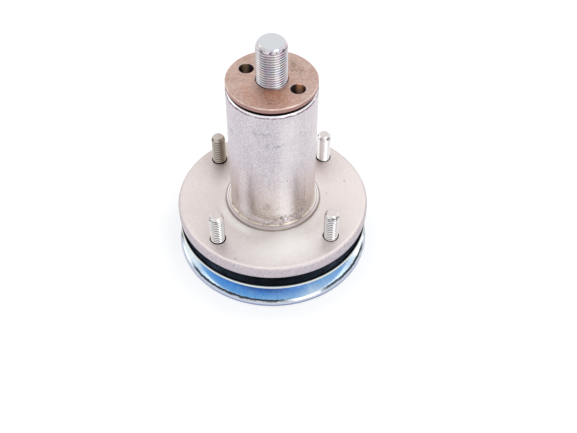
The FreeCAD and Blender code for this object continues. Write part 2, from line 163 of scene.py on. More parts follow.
class SpindleFinishes(bpy.types.PropertyGroup):
    """Colours of the spindle's metals."""

    tube: hue("Tube", "Drawn tube, lilac grey", 207, 199, 205)
    # Also painted shade on the tube's left side and upper middle.
    tube_shade: hue("Tube shade", "Darker clouds of the tube", 188, 180, 190)
    # Painted highlights and reflections on the tube, as well as its paler patches.
    tube_pale: hue("Tube light", "Paler patches of the tube", 230, 226, 230)
    tube_warm: hue("Tube heat tint", "Warm tint over the brazed foot", 214, 200, 188)
    flange: hue("Flange", "Turned face, warm white", 226, 218, 215)
    # Also painted shade on the flange's sides, back and front edge.
    flange_shade: hue("Flange shade", "Darker fans of the turned face", 204, 192, 189)
    # Painted highlight on the front of the turned face.
    flange_bright: hue("Flange light", "Clean front of the turned face", 250, 250, 247)
    flange_rim: hue("Flange rim", "Turned edge", 196, 186, 193)
    # Painted shade on the flange's underside.
    flange_underside_shade: hue("Mill scale", "Dark underside of the flange", 176, 174, 176)
    braze: hue("Braze", "Line of brazing metal", 204, 192, 172)
    driver: hue("Driver", "Sintered bronze", 182, 152, 140)
    driver_red: hue("Driver centre", "Oiled bronze near the shaft", 206, 142, 110)
    driver_pale: hue("Driver light", "Paler grains and clouds", 220, 200, 192)
    driver_rim: hue("Driver rim", "Side of the driver", 166, 130, 126)
    # Painted highlight on the driver's edge, and glints round and in its pin holes.
    driver_edge: hue("Driver edge", "Rubbed edge", 232, 214, 208)
    # Painted reflection on the right pin hole's wall, and an oil tint on the driver's face.
    right_hole_sheen_and_oil: hue("Right pin hole", "Oiled wall, orange brown", 250, 184, 140)
    # Painted reflection on the left pin hole's wall.
    left_hole_sheen: hue("Left pin hole", "Oiled wall, olive brown", 196, 166, 132)
    shaft: hue("Shaft", "Bright rolled steel", 226, 221, 222)
    shaft_end: hue("Shaft end", "Plain sawn end", 205, 208, 211)
    # Painted shade in the thread roots, and painted dark reflections as spots on the shaft's shoulder and the
    # studs' points.
    thread_root: hue("Thread root", "Dirt in the roots of the threads", 56, 46, 56)
    bloom_blue: hue("Blue bloom", "Faint blue on bright metal", 190, 200, 222)
    bloom_pink: hue("Pink bloom", "Faint pink on bright metal", 226, 196, 214)
    bloom_green: hue("Green bloom", "Faint green on bright metal", 214, 222, 220)
    stud: hue("Stud", "Zinc plate, faintly yellow", 238, 235, 232)
    # Colour of the back-left stud, which is darker than the rest.
    stud_dull: hue("Dull stud", "Stud with a duller plate", 176, 166, 148)
    # These four colours also carry the painted blue reflection at the front of the groove.
    pulley_deep: hue("Pulley, deep blue", "Upper half near the groove's root", 44, 116, 206)
    pulley_blue: hue("Pulley, blue", "Upper half near the lip", 106, 176, 230)
    pulley_light: hue("Pulley, light blue", "Lower half near the groove's root", 182, 210, 238)
    pulley_pale: hue("Pulley, pale", "Thin zinc plate, nearly white", 226, 236, 242)
    pulley_skirt: hue("Pulley skirt", "Lilac blue plate of the rim", 194, 201, 215)
    pulley_edge: hue("Pulley edge", "Sheared edge, pale yellow", 226, 224, 200)
    pulley_back: hue("Pulley back", "Thin plate over the groove", 194, 208, 226)
    # Painted reflection: a violet line near the pulley's foot.
    pulley_foot: hue("Pulley foot", "Violet line near the foot", 96, 102, 168)
    # Also painted highlights on the tube's mouth and the pilot ring, and painted light on the back-right
    # stud.
    white_metal: hue("White metal", "Bright rubbed spots", 248, 244, 246)
    stain_blue: hue("Blue stain", "Handling stains", 128, 126, 152)
    stain_brown: hue("Brown stain", "Heat and rust stains", 124, 98, 88)
    stain_grey: hue("Grey stain", "Grease and scuffs", 130, 118, 112)
    stain_dark: hue("Dark stain", "Specks and dirt lines", 72, 56, 58)
    stain_violet: hue("Violet stain", "Rubbed line round the tube's mouth", 104, 78, 98)
    stain_olive: hue("Olive stain", "Old grease", 134, 116, 92)
    # Painted shade in gaps, holes and under the driver, and a painted dark reflection along the pulley's
    # bend.
    shade_black: hue("Black oil", "Oil in gaps and holes", 30, 24, 24)
    rubber: hue("Seal", "Seal rubber", 26, 26, 27)
    cage: hue("Cage", "Moulded bearing cage", 214, 206, 186)
    bearing: hue("Bearing", "Ground bearing steel", 206, 207, 210)


class SpindleStage(bpy.types.PropertyGroup):
    """Camera, floor and light."""

    camera_place: bpy.props.FloatVectorProperty(
        name="Camera place", description="Where the camera stands", default=(-0.00662, -0.31618, 0.36925),
        subtype="XYZ", unit="LENGTH", precision=4)
    camera_pitch: setting("Camera pitch", "How far it looks down", 0.844, subtype="ANGLE")
    camera_yaw: setting("Camera yaw", "How far it looks right", 0.04894, subtype="ANGLE")
    camera_roll: setting("Camera roll", "How far it is turned", 0.012, subtype="ANGLE")
    camera_lens: setting("Focal length", "Millimetres on a 36 mm sensor", 51.76, unit="CAMERA")
    sky_strength: setting("Sky strength", "Light of the white studio", 0.75, min=0.0)
    top_power: setting("Top power", "Watts of the large lamp above", 3.6, min=0.0)
    key_power: setting("Key power", "Watts of the lamp at the front right", 1.2, min=0.0)
    side_power: setting("Side power", "Watts of each lamp behind the part", 0.5, min=0.0)
    floor_shade: setting("Floor shade", "Grey of the floor's paint", 0.6, min=0.0, max=1.0)
    floor_glow: setting("Floor glow", "What the floor adds to look white", 0.5, min=0.0)


def deselect_all():
    """Leaves edit mode with nothing selected."""
    if bpy.context.mode != "OBJECT":
        bpy.ops.object.mode_set(mode="OBJECT")
    bpy.ops.object.select_all(action="DESELECT")


def only(piece):
    """Selects one piece and makes it active."""
    deselect_all()
    piece.select_set(True)
    bpy.context.view_layer.objects.active = piece


def added(name):
    """Names the piece that was just added, and puts its place into its mesh."""
    piece = bpy.context.object
    piece.name = name
    bpy.ops.object.transform_apply(location=True, rotation=True, scale=True)
    return piece


def open_mesh(piece):
    """Opens a piece in edit mode with all of it selected."""
    only(piece)
    bpy.ops.object.mode_set(mode="EDIT")
    bpy.ops.mesh.select_all(action="SELECT")


def close_mesh():
    """Turns every face outwards and leaves edit mode."""
    bpy.ops.mesh.select_all(action="SELECT")
    bpy.ops.mesh.normals_make_consistent(inside=False)
    bpy.ops.object.mode_set(mode="OBJECT")


def arc(radius, size, angle, steps):
    """Points of a round that starts upright at a radius: how far out each lies, and how far up."""
    turns = [angle * step / steps for step in range(steps + 1)]
    return [(radius - size + size * math.cos(turn), size * math.sin(turn)) for turn in turns]


def rounded_start(radius, height, size):
    """Stations of a rounded lower corner, from the face at height out to the wall at radius."""
    corner = arc(radius, size, math.pi / 2, HEAD_STEPS)
    return [(out, height - (up - size)) for out, up in reversed(corner)]


def blended_end(radius, height, sizes):
    """Stations of a bevelled end whose lower corner is blended into the wall by an arc."""
    corner = height - sizes.tip_chamfer - sizes.tip_round * math.tan(math.pi / 8)
    blend = arc(radius, sizes.tip_round, math.pi / 4, TIP_STEPS)
    return [(out, corner + up) for out, up in blend] + [(radius - sizes.tip_chamfer, height)]


def turned_piece(name, stations):
    """Closed turned piece: a disc, extruded and scaled from one (radius, height) to the next."""
    deselect_all()
    radius, height = stations[0]
    bpy.ops.mesh.primitive_circle_add(
        vertices=SIDES, radius=radius, fill_type="NGON", location=(0, 0, height))
    piece = added(name)
    open_mesh(piece)
    for next_radius, next_height in stations[1:]:
        bpy.ops.mesh.extrude_region_move(TRANSFORM_OT_translate={"value": (0, 0, next_height - height)})
        factor = next_radius / radius
        bpy.ops.transform.resize(value=(factor, factor, 1), center_override=(0, 0, next_height))
        radius, height = next_radius, next_height
    close_mesh()
    return piece


def apply_step(piece, step):
    """Applies a modifier."""
    only(piece)
    bpy.ops.object.modifier_apply(modifier=step.name)


def thread_piece(sizes, crest_radius, bottom, top):
    """Closed length of thread: a rounded tooth drawn by points, wound up the axis and cut at both ends."""
    depth, pitch = sizes.depth, sizes.pitch
    out, rise = math.sin(FLANK_ANGLE), math.cos(FLANK_ANGLE)
    corner = TOOTH_CORNER * pitch
    flank = (depth - 2 * corner * rise) / out
    flat = pitch / 2 - 2 * corner * out - flank * rise
    side = ((corner * rise, corner * out), (flank * out, flank * rise), (corner * rise, corner * out))
    tooth = ((0, flat),) + side + ((0, flat),) + tuple((-outward, up) for outward, up in side)
    deselect_all()
    bpy.ops.mesh.primitive_plane_add(size=depth, location=(crest_radius - depth, 0, bottom - 1.5 * pitch))
    piece = added("thread")
    open_mesh(piece)
    bpy.ops.mesh.merge(type="CENTER")
    for outward, up in tooth:
        bpy.ops.mesh.extrude_vertices_move(TRANSFORM_OT_translate={"value": (outward, 0, up)})
    bpy.ops.object.mode_set(mode="OBJECT")

    winding = piece.modifiers.new("winding", "SCREW")
    winding.axis = "Z"
    winding.angle = 2 * math.pi
    winding.screw_offset = pitch
    winding.iterations = math.ceil((top - bottom) / pitch) + 3
    winding.steps = SIDES
    winding.render_steps = SIDES
    apply_step(piece, winding)

    open_mesh(piece)
    bpy.ops.mesh.remove_doubles(threshold=THREAD_WELD)
    for height, waste in ((bottom, "clear_inner"), (top, "clear_outer")):
        bpy.ops.mesh.select_all(action="SELECT")
        bpy.ops.mesh.bisect(
            plane_co=(0, 0, height), plane_no=(0, 0, 1), use_fill=True, threshold=CUT_TOLERANCE,
            **{waste: True})
    close_mesh()
    return piece


def combine(piece, other, operation):
    """Joins, cuts or trims a piece by another, which is used up."""
    step = piece.modifiers.new(operation.lower(), "BOOLEAN")
    step.operation = operation
    step.solver = "EXACT"
    step.object = other
    apply_step(piece, step)
    bpy.data.objects.remove(other, do_unlink=True)
    if not piece.data.polygons:
        raise RuntimeError(piece.name + " has no faces left after " + operation.lower())


def add_thread(piece, sizes, crest_radius, bottom, top, stations):
    """Adds a thread to a piece, trimmed to a turned envelope with those stations."""
    thread = thread_piece(sizes, crest_radius, bottom, top)
    combine(thread, turned_piece("envelope", stations), "INTERSECT")
    combine(piece, thread, "UNION")


def key_seat(key):
    """Round-ended cutter as large as one of the keys."""
    low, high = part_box(key)
    deselect_all()
    bpy.ops.mesh.primitive_cube_add(size=1, location=(low + high) / 2, scale=high - low)
    cutter = added(key + "_seat")
    open_mesh(cutter)
    bpy.ops.mesh.select_all(action="DESELECT")
    mesh = bmesh.from_edit_mesh(cutter.data)
    same = MM / 100
    for edge in mesh.edges:
        first, second = (vertex.co for vertex in edge.verts)
        edge.select_set(abs(first.x - second.x) < same and abs(first.z - second.z) < same)
    bmesh.update_edit_mesh(cutter.data)
    nearly_half = (high.x - low.x) / 2.02
    bpy.ops.mesh.bevel(offset=nearly_half, segments=KEY_STEPS, affect="EDGES")
    bpy.ops.object.mode_set(mode="OBJECT")
    return cutter


def finish_mesh(piece):
    """Closes hairline seams and shades the round walls smooth."""
    open_mesh(piece)
    bpy.ops.mesh.remove_doubles(threshold=SEAM_WELD)
    close_mesh()
    bpy.ops.object.shade_smooth_by_angle(angle=SMOOTH_ANGLE)


def join(tree, value, socket):
    """Links a measure or a socket, or sets a plain value."""
    if isinstance(value, Measure):
        value = value.socket
    if isinstance(value, bpy.types.NodeSocket):
        tree.links.new(value, socket)
    else:
        socket.default_value = value


def add_node(tree, kind, inputs, **settings):
    """New shader node with its settings and inputs; gives its outputs."""
    made = tree.nodes.new("ShaderNode" + kind)
    for name, value in settings.items():
        setattr(made, name, value)
    for name, value in inputs.items():
        join(tree, value, made.inputs[name])
    return made.outputs


class Measure:
    """A node's output that varies over a surface, and the sums that can be made with it."""

    def __init__(self, tree, socket):
        self.tree = tree
        self.socket = socket

    def work(self, operation, *others):
        """Result of one sum."""
        made = add_node(self.tree, "Math", dict(enumerate((self, *others))), operation=operation)
        return Measure(self.tree, made["Value"])

    __add__ = partialmethod(work, "ADD")
    __sub__ = partialmethod(work, "SUBTRACT")
    __mul__ = partialmethod(work, "MULTIPLY")
    __truediv__ = partialmethod(work, "DIVIDE")
    __pow__ = partialmethod(work, "POWER")
    __abs__ = partialmethod(work, "ABSOLUTE")
    scaled = partialmethod(work, "MULTIPLY_ADD")
    most = partialmethod(work, "MAXIMUM")

    def fade(self, low, high):
        """Smooth step between two limits."""
        limits = {"Value": self, "From Min": low, "From Max": high}
        made = add_node(self.tree, "MapRange", limits, interpolation_type="SMOOTHSTEP")
        return Measure(self.tree, made["Result"])

    def near(self, middle, outer, inner):
        """One within the inner distance of a value, fading to nought at the outer one."""
        return abs(self - middle).fade(outer, inner)


class Outputs:
    """A node's outputs as measures, by their names in small letters."""

    def __init__(self, tree, sockets):
        for socket in sockets:
            setattr(self, socket.name.lower().replace(" ", "_"), Measure(tree, socket))


def distance(first, second):
    """Length of two measures at right angles."""
    return (first * first + second * second).work("SQRT")


def tint(tree, under, over, share):
    """One colour laid over another."""
    return add_node(tree, "Mix", {0: share, 6: under, 7: over}, data_type="RGBA")[2]


def stretched(tree, place, share):
    """Places squeezed along the shaft, so that a pattern runs in streaks along it."""
    return add_node(tree, "VectorMath", {0: place, 1: (1.0, 1.0, share)}, operation="MULTIPLY")["Vector"]


def noise(tree, dimensions="3D", **inputs):
    """Cloudy values between nought and one."""
    return Measure(tree, add_node(tree, "TexNoise", inputs, noise_dimensions=dimensions)["Fac"])


def new_group(name, takes, gives):
    """Empty shader group: its tree, what it takes, and the function that gives. Only a place is a vector."""
    tree = bpy.data.node_groups.new(name, "ShaderNodeTree")
    for way, words in (("INPUT", takes), ("OUTPUT", gives)):
        for word in words.split():
            kind = "NodeSocketVector" if word == "place" else "NodeSocketFloat"
            label = word.replace("_", " ").capitalize()
            tree.interface.new_socket(label, in_out=way, socket_type=kind)
    ends = tree.nodes.new("NodeGroupOutput").inputs

    def give(*values):
        for value, socket in zip(values, ends):
            join(tree, value, socket)

    return tree, Outputs(tree, tree.nodes.new("NodeGroupInput").outputs), give


def lathe_places():
    """Where a point lies, in millimetres, and its turn round the shaft from the front."""
    tree, _, give = new_group("lathe_places", "", "place across back height radius turn")
    coords = add_node(tree, "TexCoord", {})["Object"]
    place = add_node(tree, "VectorMath", {0: coords, "Scale": 1 / MM}, operation="SCALE")["Vector"]
    axes = Outputs(tree, add_node(tree, "SeparateXYZ", {"Vector": place}))
    turn = axes.x.work("ARCTAN2", axes.y * -1.0).work("DEGREES")
    give(place, axes.x, axes.y, axes.z, distance(axes.x, axes.y), turn)


def mottle():
    """Cloudy patches."""
    tree, given, give = new_group("mottle", "place scale detail low high", "mask value")
    value = noise(tree, Vector=given.place, Scale=given.scale, Detail=given.detail, Roughness=0.6)
    give(value.fade(given.low, given.high), value)


def specks():
    """Scattered small specks."""
    tree, given, give = new_group("specks", "place scale size share", "mask")
    cells = add_node(tree, "TexVoronoi", {"Vector": given.place, "Scale": given.scale})
    draw = Outputs(tree, add_node(tree, "SeparateColor", {"Color": cells["Color"]}))
    size = given.size * draw.green.scaled(0.7, 0.3)
    spot = Measure(tree, cells["Distance"]).fade(size, size * 0.4)
    give(spot * draw.red.work("LESS_THAN", given.share))


def tool_marks():
    """Fine lines that a cutting tool leaves along one measure of the surface."""
    tree, given, give = new_group("tool_marks", "along lines", "height value")
    fine = noise(tree, "1D", W=given.along, Scale=given.lines, Detail=3.0)
    coarse = noise(tree, "1D", W=given.along, Scale=given.lines * 0.12, Detail=2.0)
    give(fine, coarse.scaled(0.6, fine * 0.4))


def fans():
    """Patches that depend on the turn alone, so they fan out from the axis."""
    tree, given, give = new_group("fans", "place scale low high", "mask")
    flat = stretched(tree, given.place, 0.0)
    way = add_node(tree, "VectorMath", {0: flat}, operation="NORMALIZE")["Vector"]
    value = noise(tree, Vector=way, Scale=given.scale, Detail=2.0)
    give(value.fade(given.low, given.high))


def ragged_band():
    """Band round one value of a measure, with edges that wander."""
    tree, given, give = new_group("ragged_band", "place along middle width wander scale", "mask")
    shift = (noise(tree, Vector=given.place, Scale=given.scale, Detail=3.0) - 0.5) * given.wander
    half = given.width * 0.5
    give(abs(given.along - given.middle + shift).fade(half, half * 0.35))


def blot():
    """Soft patch round one place of the surface, given by two measures."""
    _, given, give = new_group("blot", "across up at_across at_up wide tall ragged", "mask")
    away = distance((given.across - given.at_across) / given.wide, (given.up - given.at_up) / given.tall)
    give((away + given.ragged).fade(1.0, 0.2))


EFFECTS = {
    make.__name__: make for make in (lathe_places, mottle, specks, tool_marks, fans, ragged_band, blot)
}


class Finish:
    """A material in the making: its colour so far, and where a point lies on the part."""

    def __init__(self, name, colour, metallic=1.0):
        self.material = bpy.data.materials.new(name)
        self.material.use_nodes = True
        self.tree = self.material.node_tree
        self.shader = self.tree.nodes["Principled BSDF"].inputs
        self.shader["Metallic"].default_value = metallic
        self.colour = colour
        # The places become the finish's own: place, across, back, height, radius and turn.
        vars(self).update(vars(self.effect("lathe_places")))

    def effect(self, name, *values):
        """Places a shared effect in the material, and makes it the first time."""
        if name not in bpy.data.node_groups:
            EFFECTS[name]()
        made = self.tree.nodes.new("ShaderNodeGroup")
        made.node_tree = bpy.data.node_groups[name]
        for value, socket in zip(values, made.inputs):
            join(self.tree, value, socket)
        return Outputs(self.tree, made.outputs)

    def mottle(self, scale, detail=4, low=0.4, high=0.7, stretch=None):
        """Cloudy patches, drawn out along the shaft if asked."""
        place = self.place if stretch is None else stretched(self.tree, self.place, stretch)
        return self.effect("mottle", place, scale, detail, low, high)

    def specks(self, scale, size, share):
        """Small specks: how close, how large, and the share that shows."""
        return self.effect("specks", self.place, scale, size, share).mask

    def fans(self, scale, low, high):
        """Patches that fan out from the axis."""
        return self.effect("fans", self.place, scale, low, high).mask

    def band(self, along, middle, width, wander, scale):
        """Ragged band round one value of a measure."""
        return self.effect("ragged_band", self.place, along, middle, width, wander, scale).mask

    def lay(self, colour, mask, share=1.0):
        """Lays a colour over what is there, where a mask shows."""
        self.colour = tint(self.tree, self.colour, colour, mask * share)

    def stain(self, up, ragged, stains):
        """Lays blots on: turn, level, half turn, half height, shade and share of each."""
        shift = self.mottle(0.5).value.scaled(ragged, -0.5 * ragged)
        for turn, level, wide, tall, colour, share in stains:
            spot = self.effect("blot", self.turn, up, turn, level, wide, tall, shift)
            self.lay(colour, spot.mask, share)

    def set(self, label, value):
        """Links or sets one of the shader's inputs."""
        join(self.tree, value, self.shader[label])

    def done(self, roughness, relief, depth, strength):
        """Wires the colour, the roughness and the relief, and gives the material."""
        bump = add_node(self.tree, "Bump", {"Height": relief, "Distance": depth, "Strength": strength})
        self.set("Base Color", self.colour)
        self.set("Roughness", roughness)
        self.set("Normal", bump["Normal"])
        return self.material


def drawn_tube_finish(hues):
    """Drawn tube: lilac grey, stained by handling and by the heat of brazing, with painted highlights,
    reflections and shade, and a painted highlight on its mouth.
    """
    tube = Finish("drawn_tube", hues.tube)
    turn, height, lay = tube.turn, tube.height, tube.lay
    clouds = tube.mottle(0.09, 5, 0.42, 0.68).mask
    fine = tube.mottle(1.3, 5, 0.42, 0.62)
    streaks = tube.mottle(0.3, 4, 0.45, 0.7, stretch=0.06).mask
    shadow, pale, white = hues.tube_shade, hues.tube_pale, hues.white_metal
    blue, brown, dark = hues.stain_blue, hues.stain_brown, hues.stain_dark

    # Painted shade on the tube's left side.
    lay(shadow, turn.fade(5, -50) * turn.fade(-176, -120), 0.5)
    lay(shadow, clouds, 0.4)
    lay(hues.stain_grey, streaks, 0.1)
    lay(hues.tube_warm, height.fade(76, 40), 0.7)
    lay(brown, height.fade(58, 32), 0.3)
    # The first four blots are painted light and shade: painted highlights and reflections in the pale ones,
    # painted shade in the dark one. The brown blots at 38 and 46 degrees are a painted reflection of the
    # front right stud; the others are stains.
    tube.stain(height, 1.6, (
        (18, 78, 18, 50, pale, 0.4),
        (-6, 92, 20, 42, shadow, 0.9),
        (16, 44, 16, 26, pale, 0.6),
        (-43, 48, 14, 26, pale, 0.9),
        (38, 56, 10, 24, brown, 0.12),
        (46, 50, 1.4, 18, brown, 0.4),
        (56, 38, 18, 10, brown, 0.3),
        (-57, 46, 6, 9, brown, 0.35),
        (-30, 44, 3, 9, brown, 0.3),
        (-10, 46, 9, 4, brown, 0.35),
        (-62, 90.5, 10, 2, blue, 0.55),
        (-8, 90.5, 5, 1.6, blue, 0.5),
        (5, 90.3, 6, 1.6, blue, 0.5),
        (12, 91, 5, 1.2, blue, 0.4),
        (-16, 98, 16, 2.4, blue, 0.3),
        (18, 65, 1, 0.6, blue, 0.9),
    ))

    # The heat of brazing left a brown tide mark like the side of a bowl, with specks along its foot.
    side = (turn - 5) / 40
    drop = (height.scaled(-1, 60) / 23.5).most(0)
    bowl = (abs(side) ** 4 + abs(drop) ** 4) ** 0.25 + tube.mottle(0.25, 5).value.scaled(0.3, -0.15)
    tide = bowl.fade(0.62, 0.97) * bowl.fade(1.06, 0.99) * height.fade(60, 38)
    left = turn.fade(-14, -28) * height.fade(40, 46)
    clear = turn.near(15, 18, 4).scaled(-0.75, 1) * left.scaled(-0.75, 1)
    clear *= turn.near(31, 12, 4).scaled(-0.6, 1)
    lay(brown, tide * clear, 0.36)
    lay(pale, bowl.fade(1, 1.06) * height.fade(38, 36) * turn.near(2, 46, 34), 0.5)
    row = turn.near(35, 3.6, 1.6) * height.near(86, 16, 12)
    lay(dark, tube.specks(0.75, 0.5, 0.55) * row, 0.6)
    foot = bowl.near(1.04, 0.16, 0.09) * height.fade(50, 42) * turn.fade(-12, 4)
    lay(dark, tube.specks(1, 1.3, 0.4) * foot, 0.85)
    scorched = height.fade(40, 34) * turn.near(4, 52, 30)
    lay(brown, tube.mottle(0.3, 5, 0.38, 0.6).mask * scorched, 0.35)
    # Painted shade in the corner at the tube's foot, on its front and left.
    corner = height.fade(33.6, 33) * turn.near(-20, 70, 40)
    lay(dark, corner, 0.5)
    lay(dark, tube.specks(0.35, 0.16, 0.3), 0.45)
    lay(white, fine.mask, 0.4)

    # Painted highlight on the mouth's chamfer, which is also made glossier.
    worn = height.fade(tube_mouth - 0.74, tube_mouth - 0.49)
    lay(white, worn, 0.7)
    broken = tube.mottle(0.25, 2, 0.34, 0.52).mask
    lay(hues.stain_violet, tube.band(height, tube_mouth - 0.94, 0.8, 0.9, 0.4) * broken, 0.85)
    # Painted shade inside the tube's mouth.
    inside = tube.radius.fade(22.1, 21.9)
    lay(dark, inside, 0.85)
    rough = clouds.scaled(0.06, fine.value.scaled(0.16, 0.26))
    return tube.done(worn.scaled(-0.1, rough), fine.value, 0.02 * MM, 0.5)


def stud_radius(finish, studs):
    """Distance in millimetres from the nearest stud's axis."""
    mean = studs.circle_radius / MM * math.sqrt(0.5)
    return distance(abs(finish.across) - mean, abs(finish.back) - mean)


def turned_flange_finish(hues, studs):
    """Turned flange: fine rings, painted fans of light and shade, a painted highlight on the pilot ring,
    painted shade at its foot, in the stud holes and on the underside, and a few nicks.
    """
    flange = Finish("turned_flange", hues.flange)
    radius, height, lay = flange.radius, flange.height, flange.lay
    marks = flange.effect("tool_marks", radius, 5)
    fine = flange.mottle(0.8, 4, 0.3, 0.75).mask
    shadow, painted_highlight, pale = hues.flange_shade, hues.flange_bright, hues.white_metal
    brown, dark = hues.stain_brown, hues.stain_dark
    face, bottom = deck_face / MM, flange_bottom / MM
    lay(shadow, flange.mottle(0.05).mask, 0.25)
    lay(shadow, marks.value, 0.16)
    # Painted light and shade: painted shade on the sides, the back and the front edge, painted highlights on
    # the front, and a painted shadow of the back left stud in brown. The last three blots are nicks.
    flange.stain(radius, 0.5, (
        (-80, 38, 46, 26, shadow, 0.6),
        (88, 38, 42, 26, shadow, 0.35),
        (4, 38, 52, 18, painted_highlight, 0.7),
        (8, 33, 30, 14, painted_highlight, 0.8),
        (-8, 28.5, 90, 5, painted_highlight, 0.9),
        (132, 38, 36, 24, shadow, 0.8),
        (-132, 38, 34, 24, shadow, 0.9),
        (-152, 40, 22, 20, shadow, 0.8),
        (0, 51.5, 80, 1.4, shadow, 0.5),
        (-132, 46, 12, 8, brown, 0.15),
        (104, 42, 1.2, 0.7, dark, 0.7),
        (92, 30, 1.2, 0.5, dark, 0.7),
        (-25, 49, 1.1, 0.6, dark, 0.8),
    ))
    # Painted shade at the back.
    rear = abs(flange.turn).fade(130, 170)
    lay(shadow, rear, 0.5)
    lay(dark, flange.specks(0.14, 0.045, 0.22), 0.6)
    lay(pale, fine, 0.2)
    edge = radius.fade(51.2, 52.5)
    lay(hues.flange_rim, edge)
    lay(hues.stain_blue, edge * flange.mottle(1.1, 4, 0.47, 0.62).mask, 0.3)
    lay(pale, edge * fine, 0.3)
    # Painted highlight on the pilot ring's top.
    pilot = height.fade(face + 1.11, face + 1.26)
    lay(pale, pilot, 0.6)
    lay(brown, flange.band(radius, 24.5, 0.6, 0.3, 0.2) * pilot, 0.6)
    # Painted shade at the foot of the pilot ring, in brown.
    pilot_corner_shade = flange.band(radius, 25.9, 1.5, 0.6, 0.2)
    lay(brown, pilot_corner_shade, 0.6)
    # Painted shade on the flange's underside, which is also rougher.
    under = height.fade(bottom + 0.81, bottom + 0.31)
    lay(hues.flange_underside_shade, under)
    # Painted shade in the stud holes.
    stud_hole_shade = stud_radius(flange, studs).fade(4.7, 4.5) * height.fade(face - 0.04, face - 0.14)
    lay(hues.shade_black, stud_hole_shade)
    flange.set("Anisotropic", 0.6)
    flange.set("Tangent", add_node(flange.tree, "Tangent", {}, direction_type="RADIAL", axis="Z")["Tangent"])
    rough = under.scaled(0.2, marks.value.scaled(0.12, 0.44))
    return flange.done(rough, marks.height, 0.012 * MM, 0.4)


def braze_finish(hues):
    """Thin run of brazing metal, with brown flux left on it."""
    braze = Finish("braze_run", hues.braze)
    clouds = braze.mottle(0.4, 4, 0.4, 0.65)
    flux = braze.mottle(0.2, 3, 0.5, 0.62).mask
    braze.lay(hues.white_metal, clouds.mask, 0.3)
    braze.lay(hues.stain_brown, flux, 0.85)
    return braze.done(clouds.value.scaled(0.2, 0.2), clouds.value, 0.1 * MM, 0.5)


def sintered_driver_finish(hues, holes):
    """Sintered bronze: redder where oil has spread, with scuffs and pores, a painted highlight on the edge,
    painted shade under it, and oily holes painted with light, shade and glints.
    """
    driver = Finish("sintered_bronze", hues.driver)
    radius, turn, height, lay = driver.radius, driver.turn, driver.height, driver.lay
    grain = driver.mottle(0.9, 5, 0.42, 0.62)
    clouds = driver.mottle(0.13, 4, 0.35, 0.7).mask
    dark, red, pale, rim = hues.stain_dark, hues.driver_red, hues.driver_pale, hues.driver_rim
    grey, olive, painted_highlight = hues.stain_grey, hues.stain_olive, hues.driver_edge
    face = driver_high.z / MM

    lay(red, radius.fade(20, 8), 0.15)
    lay(pale, clouds, 0.25)
    driver.stain(radius, 0.8, (
        (-2, 17, 58, 10, red, 0.5),
        (4, 11, 50, 6, hues.right_hole_sheen_and_oil, 0.35),
        (-60, 15, 26, 5, red, 0.2),
        (136, 12, 30, 8, grey, 0.2),
    ))
    driver.stain(radius, 0.3, (
        (-2, 18.6, 7, 0.8, dark, 0.5),
        (-12, 18.9, 5, 0.7, dark, 0.45),
        (9, 18.5, 3, 0.6, dark, 0.45),
    ))
    behind = turn.near(124, 34, 10) * radius.near(13.5, 5.5, 2)
    lay(olive, behind * driver.mottle(0.3, 4, 0.42, 0.62).mask, 0.8)
    lay(olive, behind, 0.1)
    scuff = driver.band(radius, 15, 0.9, 8, 0.13) * turn.near(105, 38, 20)
    lay(grey, scuff, 0.4)
    pores = driver.specks(0.6, 0.26, 0.3)
    lay(dark, pores, 0.4)
    lay(rim, driver.mottle(0.5, 4, 0.46, 0.62).mask, 0.2)
    lay(pale, grain.mask, 0.4)
    lay(rim, height.fade(face - 0.44, face - 0.59), 0.9)
    # Painted highlight along the top edge.
    edge = radius.near(22.65, 0.4, 0.2) * height.near(face - 0.24, 0.35, 0.2)
    lay(painted_highlight, edge * clouds.scaled(0.6, 0.2), 0.9)
    # Painted shade under the driver.
    foot = height.fade(face - 2.69, face - 2.99)
    lay(hues.shade_black, foot, 0.85)

    bores = 0.0
    for hole, wall, shine in holes:
        middle, back, _ = (value / MM for value in hole["pos_m"])
        away = distance(driver.across - middle, driver.back - back)
        mouth = hole["dims"]["r_mm"] + 0.2
        bore = away.fade(mouth + 0.1, mouth)
        bores = bore + bores
        # Painted light and shade on each wall: a lit stripe in the wall's colour, dark elsewhere, with a
        # painted glint near its visible foot.
        lit = tint(driver.tree, dark, wall, driver.across.near(middle + shine, 2.4, 0.3))
        glint = driver.across.near(middle + shine, 1, 0.2) * height.near(face - 4.49, 1.4, 0.5)
        lay(tint(driver.tree, lit, painted_highlight, glint * 0.8), bore)
        # Painted highlight round each hole's mouth.
        lay(painted_highlight, away.near(mouth + 0.05, 0.2, 0.08), 0.5)
    driver.set("Metallic", bores.scaled(-0.75, 1))
    rough = bores.scaled(-0.2, grain.value.scaled(0.2, 0.38))
    return driver.done(rough, grain.value, 0.03 * MM, 0.5)


def bright_steel(name, hues, colour, bloom_share):
    """Bright steel or zinc with a faint bloom: its finish so far, its roughness and its grain."""
    steel = Finish(name, colour)
    fine = steel.mottle(1.6, 3, 0.35, 0.7)
    blooms = (
        (0.22, 0.46, hues.bloom_blue),
        (0.31, 0.5, hues.bloom_pink),
        (0.27, 0.5, hues.bloom_green),
    )
    for scale, low, bloom in blooms:
        steel.lay(bloom, steel.mottle(scale, 2, low, low + 0.14).mask, bloom_share)
    steel.lay(hues.stain_grey, fine.mask, 0.12)
    return steel, fine.value.scaled(0.16, 0.14), fine.value


